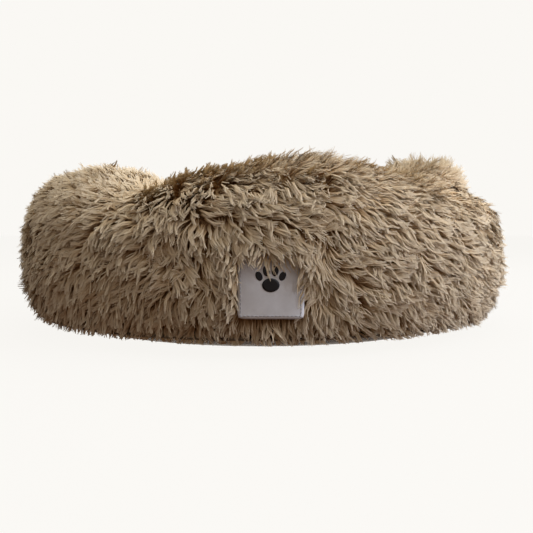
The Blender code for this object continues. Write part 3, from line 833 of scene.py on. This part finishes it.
def store_combing(mesh, combing):
    """Keeps each corner's direction, length, lean, untidiness and lowest level on the cloth."""
    ways = [part for entry in combing for part in entry[0]]
    mesh.attributes.new("combed", "FLOAT_VECTOR", "POINT").data.foreach_set("vector", ways)
    for number, name in enumerate(("pile_length", "pile_lean", "pile_mess", "pile_floor"), 1):
        values = [entry[number] for entry in combing]
        mesh.attributes.new(name, "FLOAT", "POINT").data.foreach_set("value", values)


STRANDS = 640000.0  # to the square metre
for index, side in enumerate(SIDES):
    first = SEAMS[index]
    last = SEAMS[(index + 1) % 4] + (360 if index == 3 else 0)
    shell = shell_mesh(f"plush_{side}", first + SEAM_GAP, last - SEAM_GAP)
    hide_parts(f"ring_cover_{side}")
    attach(shell, "bed")
    for number, (band, low, high) in enumerate(BANDS):
        cloth = combed_cloth(first, last, low, high)
        coat = apply_tree(
            cloth, fur_tree, f"pile_{side}_{band}", Seed=10 * index + number, Fur=long_pile,
            Bare_middle=tuple(LABEL_MIDDLE), Bare_half_size=LABEL_HALF - 0.001,
            Strands_per_m2=STRANDS * (NEST_SHARE if band == "nest" else 1.0),
        )
        bpy.data.objects.remove(cloth)
        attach(coat, "bed")
        report(coat)

# %% [markdown]
# ## Three kinds of surface
# Beside the fur there are woven satin, plain woven cloth, and moulded, printed or plated surfaces.
# Each kind is one function, which takes the colours and the size of a thread or a grain. Real
# threads of 0.1 to 0.3 mm would be too fine to see, so the weaves are drawn coarser.

# %% Satin, cloth and plain surfaces
WAVE_SCALE = 0.314  # a wave texture of this scale repeats once in a metre
SLUB, WEAR = 0.006, 0.03  # metres: the size of satin's uneven patches and of cloth's worn ones


def dress(tree, shader, colour, bump, gloss=None):
    """Links a surface's colour, bumps and, where it varies, its roughness."""
    tree.links.new(colour, shader.inputs["Base Color"])
    tree.links.new(bump.outputs[0], shader.inputs["Normal"])
    if gloss:
        tree.links.new(gloss.outputs[0], shader.inputs["Roughness"])


def satin_material(name, base, dark, thread_mm):
    """Woven satin: long floating threads with a soft gloss, in rows that catch the light."""
    material, tree, shader = start_material(name)
    place = add(tree, "ShaderNodeTexCoord")
    rows = add(
        tree, "ShaderNodeTexWave", {"bands_direction": "Z"},
        {
            "Vector": place.outputs["Object"], "Scale": WAVE_SCALE / (thread_mm / 1000),
            "Distortion": 0.3,
        },
    )
    slubs = add(
        tree, "ShaderNodeTexNoise", None,
        {"Vector": place.outputs["Object"], "Scale": 1 / SLUB, "Detail": 3.0},
    )
    mix = add(
        tree, "ShaderNodeMix", {"data_type": "RGBA"}, {0: slubs, 6: linear(base), 7: linear(dark)}
    )
    bump = add(tree, "ShaderNodeBump", None, {"Strength": 0.35, "Distance": 0.0003, "Height": rows})
    gloss = add(tree, "ShaderNodeMapRange", None, {0: slubs, 3: 0.42, 4: 0.6})
    dress(tree, shader, mix.outputs[2], bump, gloss)
    shader.inputs["Sheen Weight"].default_value = 0.1
    return material


def cloth_material(name, light, dark, thread_mm, bump_mm=0.3, rough=0.85):
    """Plain weave: threads over and under each other, drawn a little coarse so that they show."""
    material, tree, shader = start_material(name)
    place = add(tree, "ShaderNodeTexCoord")
    waves = []
    for direction in ("X", "Y"):
        waves.append(add(
            tree, "ShaderNodeTexWave", {"bands_direction": direction},
            {
                "Vector": place.outputs["Object"], "Scale": WAVE_SCALE / (thread_mm / 1000),
                "Distortion": 0.4,
            },
        ))
    weave = add(tree, MATH, TIMES, {0: waves[0].outputs[1], 1: waves[1].outputs[1]})
    wear = add(
        tree, "ShaderNodeTexNoise", None,
        {"Vector": place.outputs["Object"], "Scale": 1 / WEAR, "Detail": 6.0},
    )
    shade = add(tree, MATH, TIMES_PLUS, {0: weave, 1: 0.5, 2: wear})
    ramp = add(tree, "ShaderNodeValToRGB", None, {0: shade})
    ramp.color_ramp.elements[0].position = 0.3
    ramp.color_ramp.elements[0].color = linear(dark)
    ramp.color_ramp.elements[1].position = 0.9
    ramp.color_ramp.elements[1].color = linear(light)
    bump = add(
        tree, "ShaderNodeBump", None,
        {"Strength": 0.5, "Distance": bump_mm / 1000, "Height": weave},
    )
    dress(tree, shader, ramp.outputs[0], bump)
    shader.inputs["Roughness"].default_value = rough
    return material


def plain_material(name, light, dark, grain_mm, rough, metallic=0.0, bump_mm=0.05):
    """A moulded, printed or plated surface: two close colours, finely mottled, and a grain."""
    material, tree, shader = start_material(name)
    place = add(tree, "ShaderNodeTexCoord")
    grain = add(
        tree, "ShaderNodeTexNoise", None,
        {
            "Vector": place.outputs["Object"], "Scale": 1000 / grain_mm, "Detail": 5.0,
            "Roughness": 0.6,
        },
    )
    mix = add(
        tree, "ShaderNodeMix", {"data_type": "RGBA"}, {0: grain, 6: linear(dark), 7: linear(light)}
    )
    bump = add(
        tree, "ShaderNodeBump", None,
        {"Strength": 0.4, "Distance": bump_mm / 1000, "Height": grain},
    )
    gloss = add(tree, "ShaderNodeMapRange", None, {0: grain, 3: rough - 0.08, 4: rough + 0.08})
    dress(tree, shader, mix.outputs[2], bump, gloss)
    shader.inputs["Metallic"].default_value = metallic
    return material


print("three kinds of surface can be made")

# %% [markdown]
# ## The label
# The label is a woven satin square, sewn to the fur along its four sides, so it lies nearly flat
# but gives a little between its stitches. The fur above and beside it falls over its edges. Its
# mark is a plain paw, printed on.

# %% The label's cloth, print and stitches
LABEL_THICKNESS = LABEL_HIGH.y - LABEL_LOW.y
BOW, RIPPLE, TILT, PROUD = 0.0016, 0.0005, 0.0010, 0.001  # metres
SHEET = 0.0007  # the satin's thickness, folded hem and all
PRINT_PROUD, PRINT_BACK = 0.00028, -0.0001  # the print's front and back, off the satin
STITCH_INSET, STITCH_PROUD, SIDE_STEPS = 0.0024, 0.00015, 12


def label_front(x, z):
    """How far forward the label's face is: it bows a little, and is pulled back along its edges."""
    u, v = x / LABEL_HALF, z / LABEL_HALF
    bow = BOW * (1 - u * u) * (1 - 0.5 * v * v)
    ripple = RIPPLE * noise.noise(Vector((x * 70, z * 55, 4.0)))
    tilt = -TILT * v
    return LABEL_MIDDLE.y - LABEL_THICKNESS / 2 - bow - ripple - tilt - PROUD


# Satin: a pale, softly glossy cloth. Ink: flat and nearly black. Thread: cool grey, a little fuzzy.
label_satin = satin_material("woven polyester satin", "e6e5e4", "d1cfcd", 0.5)
label_ink = plain_material("black screen print", "17171a", "0c0c0e", 0.8, 0.5)
white_thread = plain_material("spun polyester thread", "b9bcc2", "94969c", 0.4, 0.7)


def label_cloth():
    """A thin closed sheet with rounded corners that follows the label's front."""
    steps = 24
    points, faces = [], []
    for back in (0, 1):
        for i in range(steps + 1):
            for j in range(steps + 1):
                u, v = 2 * i / steps - 1, 2 * j / steps - 1
                squeeze = 1 - 0.035 * (u * v) ** 8
                x, z = LABEL_HALF * u * squeeze, LABEL_HALF * v * squeeze
                front = label_front(x, z) + back * SHEET
                points.append((LABEL_MIDDLE.x + x, front, LABEL_MIDDLE.z + z))
    side = steps + 1
    for back in (0, side * side):
        for i in range(steps):
            for j in range(steps):
                a = back + i * side + j
                front, rear = (a, a + 1, a + side + 1, a + side), (a, a + side, a + side + 1, a + 1)
                faces.append(rear if back else front)
    rim = list(range(side)) + [i * side + steps for i in range(1, side)]
    rim += [steps * side + j for j in reversed(range(steps))]
    rim += [i * side for i in reversed(range(1, steps))]
    for a, b in zip(rim, rim[1:] + rim[:1]):
        faces.append((a, b, b + side * side, a + side * side))
    made = mesh_object("label_cloth", points, faces, label_satin)
    fix_normals(made)
    return made


def paw_spot(x, z, half_width, half_height, turn):
    """One printed spot: a thin raised oval on the label's face."""
    around, rings = 28, 4
    points, faces = [], []
    for lift in (PRINT_PROUD, PRINT_BACK):
        points.append((LABEL_MIDDLE.x + x, label_front(x, z) - lift, LABEL_MIDDLE.z + z))
        for ring in range(1, rings + 1):
            for k in range(around):
                angle = 2 * math.pi * k / around
                px = half_width * math.cos(angle) * ring / rings
                pz = half_height * math.sin(angle) * ring / rings
                dx = x + px * math.cos(turn) - pz * math.sin(turn)
                dz = z + px * math.sin(turn) + pz * math.cos(turn)
                front = label_front(dx, dz) - lift
                points.append((LABEL_MIDDLE.x + dx, front, LABEL_MIDDLE.z + dz))
    layer_size = 1 + rings * around
    for start in (0, layer_size):
        for k in range(around):
            n = (k + 1) % around
            faces.append((start, start + 1 + k, start + 1 + n))
            for ring in range(rings - 1):
                a = start + 1 + ring * around
                faces.append((a + k, a + around + k, a + around + n, a + n))
    edge = 1 + (rings - 1) * around
    for k in range(around):
        n = (k + 1) % around
        faces.append((edge + k, edge + n, layer_size + edge + n, layer_size + edge + k))
    return points, faces


def paw_print():
    """A pad and four toes. Each spot: its middle, its half width and height, and its turn."""
    points, faces = [], []
    for spot in (
        (0.0, -0.0015, 0.0066, 0.0052, 0.0), (-0.0088, 0.0052, 0.0025, 0.0036, 0.45),
        (-0.0033, 0.0091, 0.0026, 0.0040, 0.12), (0.0033, 0.0091, 0.0026, 0.0040, -0.12),
        (0.0088, 0.0052, 0.0025, 0.0036, -0.45),
    ):
        more, sides = paw_spot(spot[0], spot[1] + 0.002, *spot[2:])
        faces += [tuple(i + len(points) for i in side) for side in sides]
        points += more
    made = mesh_object("label_paw", points, faces, label_ink)
    fix_normals(made)
    return made


def make_stitch_tree():
    """Stitches: short rounded bars, set end to end along a line with a small gap between them."""
    sizes = (("Pitch", 0.003), ("Length", 0.0022), ("Thickness", 0.0006))
    tree, value = open_tree("sew_stitches", "Line", sizes, "Thread", "Stitches")
    curve = add(tree, "GeometryNodeMeshToCurve", None, {0: value["Line"]})
    places = add(
        tree, "GeometryNodeCurveToPoints", {"mode": "LENGTH"},
        {"Curve": curve, "Length": value["Pitch"]},
    )
    bar = add(tree, "GeometryNodeMeshUVSphere", None, {"Segments": 6, "Rings": 5, "Radius": 0.5})
    size = add(
        tree, "ShaderNodeCombineXYZ", None,
        {0: value["Thickness"], 1: value["Thickness"], 2: value["Length"]},
    )
    planting = {
        "Points": places, "Instance": bar, "Rotation": places.outputs["Rotation"], "Scale": size,
    }
    return close_tree(tree, planting, value["Thread"])


stitch_tree = make_stitch_tree()


def line_object(points, closed=False):
    """Loose points in a row, joined by edges, for a tree to work along."""
    mesh = bpy.data.meshes.new("line")
    edges = [(i, i + 1) for i in range(len(points) - 1)]
    if closed:
        edges.append((len(points) - 1, 0))
    mesh.from_pydata([tuple(p) for p in points], edges, [])
    made = bpy.data.objects.new("line", mesh)
    bpy.context.scene.collection.objects.link(made)
    return made


def label_stitches():
    inset = LABEL_HALF - STITCH_INSET
    corners = [(-inset, -inset), (inset, -inset), (inset, inset), (-inset, inset)]
    points = []
    for (x0, z0), (x1, z1) in zip(corners, corners[1:] + corners[:1]):
        for i in range(SIDE_STEPS):
            x, z = x0 + (x1 - x0) * i / SIDE_STEPS, z0 + (z1 - z0) * i / SIDE_STEPS
            front = label_front(x, z) - STITCH_PROUD
            points.append((LABEL_MIDDLE.x + x, front, LABEL_MIDDLE.z + z))
    line = line_object(points, closed=True)
    made = apply_tree(line, stitch_tree, "label_stitches", Thread=white_thread)
    bpy.data.objects.remove(line)
    return made


for piece, node, slot in (
    (label_cloth(), "label_patch", "label"), (paw_print(), "label_print", "ink"),
    (label_stitches(), "label_stitching", "thread"),
):
    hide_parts(node)
    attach(piece, "bed")
    report(piece)

# %% [markdown]
# ## The sleeping pad
# The pad in the middle is a flat round cushion under short fur. Its cover is blown up a little by
# cloth simulation, as stuffing would, and then fur grows on its top.

# %% The pad
low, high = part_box("pad_cover")
PAD_RADIUS = (high.x - low.x) / 2 - 0.0015
PAD_TOP, PAD_BOTTOM = high.z - 0.010, low.z + 0.0005
PAD_FUR_RADIUS = 0.1215
PAD_UNTIDY = 0.25
PAD_PRESSURE, PAD_FRAMES, PAD_CAP = 4.0, 16, 0.003  # how hard, how long and how far it is puffed


def pad_blank():
    """A closed flat drum with rows of faces fine enough to puff up."""
    rings, around = 16, 72
    outline = [(PAD_RADIUS * i / rings, PAD_TOP) for i in range(1, rings + 1)]
    outline += [(PAD_RADIUS, PAD_TOP + (PAD_BOTTOM - PAD_TOP) * i / 3) for i in range(1, 4)]
    outline += [(PAD_RADIUS * i / rings, PAD_BOTTOM) for i in reversed(range(1, rings))]
    points = [(0, 0, PAD_TOP)]
    for radius, level in outline:
        for k in range(around):
            angle = 2 * math.pi * k / around
            points.append((radius * math.cos(angle), radius * math.sin(angle), level))
    points.append((0, 0, PAD_BOTTOM))
    faces = []
    for k in range(around):
        n = (k + 1) % around
        faces.append((0, 1 + k, 1 + n))
        for ring in range(len(outline) - 1):
            a = 1 + ring * around
            faces.append((a + k, a + around + k, a + around + n, a + n))
        last = 1 + (len(outline) - 1) * around
        faces.append((last + n, last + k, len(points) - 1))
    made = mesh_object("plush_pad", points, faces, backing)
    fix_normals(made)
    return made


def puff(obj, pressure, frames, cap):
    """Blows a closed cushion up by cloth simulation, then limits how far each point may move."""
    before = [v.co.copy() for v in obj.data.vertices]
    step = obj.modifiers.new("puff", "CLOTH")
    step.settings.use_pressure = True
    step.settings.uniform_pressure_force = pressure
    step.settings.effector_weights.gravity = 0
    step.settings.tension_stiffness = step.settings.compression_stiffness = 25
    step.settings.quality = 6
    step.point_cache.frame_end = frames
    scene = bpy.context.scene
    for number in range(1, frames + 1):
        scene.frame_set(number)
    graph = bpy.context.evaluated_depsgraph_get()
    after = [v.co.copy() for v in obj.evaluated_get(graph).to_mesh().vertices]
    obj.modifiers.remove(step)
    scene.frame_set(1)
    furthest = 0.0
    for vert, was, now in zip(obj.data.vertices, before, after):
        moved = now - was
        if moved.length > cap:
            moved *= cap / moved.length
        vert.co = was + moved
        furthest = max(furthest, moved.length)
    print(obj.name, "puffed by up to", round(furthest * 1000, 1), "mm")


pad = pad_blank()
puff(pad, PAD_PRESSURE, PAD_FRAMES, PAD_CAP)
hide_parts("pad_cover")
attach(pad, "bed")


def pad_cloth():
    """The pad's top and its combing: short fur that lies every way, and falls into the seam."""
    rings, around = 16, 60
    points, combing = [], []
    for i in range(rings + 1):
        radius = PAD_FUR_RADIUS * i / rings
        edge = smooth_step(radius, PAD_RADIUS - 0.012, PAD_FUR_RADIUS)
        for k in range(around):
            angle = 2 * math.pi * k / around
            level = PAD_TOP + 0.0015 - 0.009 * edge * edge
            at = Vector((radius * math.cos(angle), radius * math.sin(angle), level))
            turn = 6 * noise.noise(at * 9 + Vector((1, 5, 2)))
            way = Vector((math.cos(turn), math.sin(turn), 0))
            length = 0.0125 + 0.003 * noise.noise(at * 40) + 0.004 * edge
            lean = math.radians(50 - 15 * edge) + 0.3 * noise.noise(at * 25)
            points.append(at)
            combing.append((way, length, lean, PAD_UNTIDY, PAD_BOTTOM))
    faces = []
    for i in range(rings):
        for k in range(around):
            n = (k + 1) % around
            a = i * around
            faces.append((a + k, a + around + k, a + around + n, a + n))
    made = mesh_object("cloth", points, faces)
    store_combing(made.data, combing)
    return made


cloth = pad_cloth()
coat = apply_tree(
    cloth, fur_tree, "pile_pad", Seed=77, Fur=long_pile, Strands_per_m2=STRANDS * PAD_SHARE
)
bpy.data.objects.remove(cloth)
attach(coat, "bed")
report(coat)

# %% [markdown]
# ## The base
# The underside is brown woven cloth with rows of rubbery grip dots, which keep the bed from
# sliding when a pet jumps in. A bias tape binds it to the fur at the front and the sides.

# %% Cloth, binding and grip dots
# To the eye: the base, tapes and liner show their weave, the filling is white and cloudy, and the
# threads are dull. The grip dots have a soft rubbery gloss, the nylon a waxy one. The plating is
# the only metal.
base_weave = cloth_material("woven polyester oxford cloth", "6b5d4c", "453b30", 1.2)
tape_weave = cloth_material("woven polyester tape", "86745a", "5d4e3b", 0.9)
liner_cloth = cloth_material("spunbond liner cloth", "e2e0da", "c4c1b9", 1.5)
fibre_fill = plain_material("hollow polyester fibre", "f2f1ec", "d8d6cf", 4.0, 0.95)
seam_thread = plain_material("brown sewing thread", "5a452e", "35261a", 0.6, 0.8)
grip_rubber = plain_material("soft PVC grip dots", "3f362c", "2c251e", 1.0, 0.55)
plated = plain_material(
    "satin nickel plating", "b9b4a8", "8f8a7f", 0.7, 0.34, metallic=1.0, bump_mm=0.02
)
nylon = plain_material("nylon zip coil", "7a6a52", "57493a", 0.5, 0.42)
care_satin = satin_material("white satin ribbon", "e6e6e2", "cfcfca", 0.6)


def finish(names, material):
    """Gives CAD pieces this material."""
    for name in names:
        slots = nodes[name].data.materials
        slots.clear()
        slots.append(material)
    print(len(names), "pieces of", material.name)


finish(["base_panel"], base_weave)
finish(["base_binding", "zip_tape_inner", "zip_tape_outer"], tape_weave)
finish(["ring_liner_upper", "ring_liner_lower", "pad_liner_top", "pad_liner_bottom"], liner_cloth)
finish(["ring_filling", "pad_filling"], fibre_fill)
finish([n for n in nodes if n.startswith("panel_seam")] + ["pad_seam_cord"], seam_thread)
finish(["zip_slider", "zip_pull", "zip_top_stop", "zip_bottom_stop"], plated)
finish(["care_label"], care_satin)


def make_dot_tree():
    """Grip dots: low domes in staggered rows over a disc."""
    sizes = (("Dot width", 0.0045), ("Dot height", 0.0007))
    tree, value = open_tree("print_dots", "Disc", sizes, "Rubber", "Dots")
    dome = add(tree, "GeometryNodeMeshUVSphere", None, {"Segments": 8, "Rings": 4, "Radius": 0.5})
    size = add(
        tree, "ShaderNodeCombineXYZ", None,
        {0: value["Dot width"], 1: value["Dot width"], 2: value["Dot height"]},
    )
    planting = {"Points": value["Disc"], "Instance": dome, "Scale": size}
    return close_tree(tree, planting, value["Rubber"])


DOT_SPACING, DOT_FIELD = 0.013, 0.166  # metres: between dots, and the radius of the dotted disc
ROW_SPACING = DOT_SPACING * 0.866  # the height of a triangle of equal sides
places = []
rows, columns = int(DOT_FIELD / ROW_SPACING), 14
for j in range(-rows, rows + 1):
    for i in range(-columns, columns + 1):
        x, y = (i + 0.5 * (j % 2)) * DOT_SPACING, j * ROW_SPACING
        if math.hypot(x, y) < DOT_FIELD:
            places.append((x, y, 0.0))
disc = line_object(places)
dots = apply_tree(disc, make_dot_tree(), "grip_dots", Rubber=grip_rubber)
bpy.data.objects.remove(disc)
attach(dots, "bed")
report(dots)

# %% [markdown]
# ## The zip
# A nylon coil zip runs round the back, under the fur. Each side's coil is a row of small bars, a
# millimetre and a half apart, sewn to its tape. The slider and its pull are the moving pieces.

# %% Zip coils
def arc_line(radius, level, first, last, steps=90):
    """A line round the bed from one bearing to another."""
    points = []
    for i in range(steps + 1):
        angle = math.radians(first + (last - first) * i / steps)
        points.append((radius * math.sin(angle), -radius * math.cos(angle), level))
    return line_object(points)


def make_coil_tree():
    """A zip coil: one bar after another along an arc, each lying across it."""
    sizes = (
        ("Pitch", 0.0015), ("Bar width", 0.0011), ("Bar length", 0.0024), ("Bar height", 0.0021),
    )
    tree, value = open_tree("wind_coil", "Arc", sizes, "Nylon", "Coil")
    curve = add(tree, "GeometryNodeMeshToCurve", None, {0: value["Arc"]})
    places = add(
        tree, "GeometryNodeCurveToPoints", {"mode": "LENGTH"},
        {"Curve": curve, "Length": value["Pitch"]},
    )
    bar = add(tree, "GeometryNodeMeshUVSphere", None, {"Segments": 8, "Rings": 4, "Radius": 0.56})
    turned_bar = add(
        tree, "FunctionNodeAlignRotationToVector", {"axis": "X"},
        {"Vector": places.outputs["Tangent"]},
    )
    size = add(
        tree, "ShaderNodeCombineXYZ", None,
        {0: value["Bar width"], 1: value["Bar length"], 2: value["Bar height"]},
    )
    planting = {"Points": places, "Instance": bar, "Rotation": turned_bar, "Scale": size}
    return close_tree(tree, planting, value["Nylon"])


ZIP_RADIUS, COIL_MIDDLE, COIL_LEVEL = 0.2205, 0.0020, 0.0126
COIL_ENDS = (127.0, 233.0)  # bearings
coil_tree = make_coil_tree()
coils = []
for side, sign in (("inner", -1), ("outer", 1)):
    arc = arc_line(ZIP_RADIUS + sign * COIL_MIDDLE, COIL_LEVEL, *COIL_ENDS)
    coil = apply_tree(arc, coil_tree, f"coil_{side}", Nylon=nylon)
    bpy.data.objects.remove(arc)
    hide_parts(f"zip_coil_{side}")
    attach(coil, "bed")
    coils.append(coil)
    report(coil)

# %% [markdown]
# ## Light under the bed
# The base rests on the floor, so the room's light barely reaches it. A lamp below the rear lights
# only the base cloth, the grip dots and the zip, so these can be looked at from below, and nothing
# changes in front. A stronger room would light them too, but it would wash out the fur.

# %% The lamp for the underside
below = area_light("under_light", (0.0, 1.2, -0.75), (0, 0, 0), 1.2, 42, "fffaf2")
underside = bpy.data.collections.new("underside")
for name in (
    "base_panel", "base_binding", "zip_tape_inner", "zip_tape_outer", "zip_top_stop",
    "zip_bottom_stop", "zip_slider", "zip_pull",
):
    underside.objects.link(nodes[name])
for piece in (dots, *coils):
    underside.objects.link(piece)
below.light_linking.receiver_collection = underside
below.light_linking.blocker_collection = underside
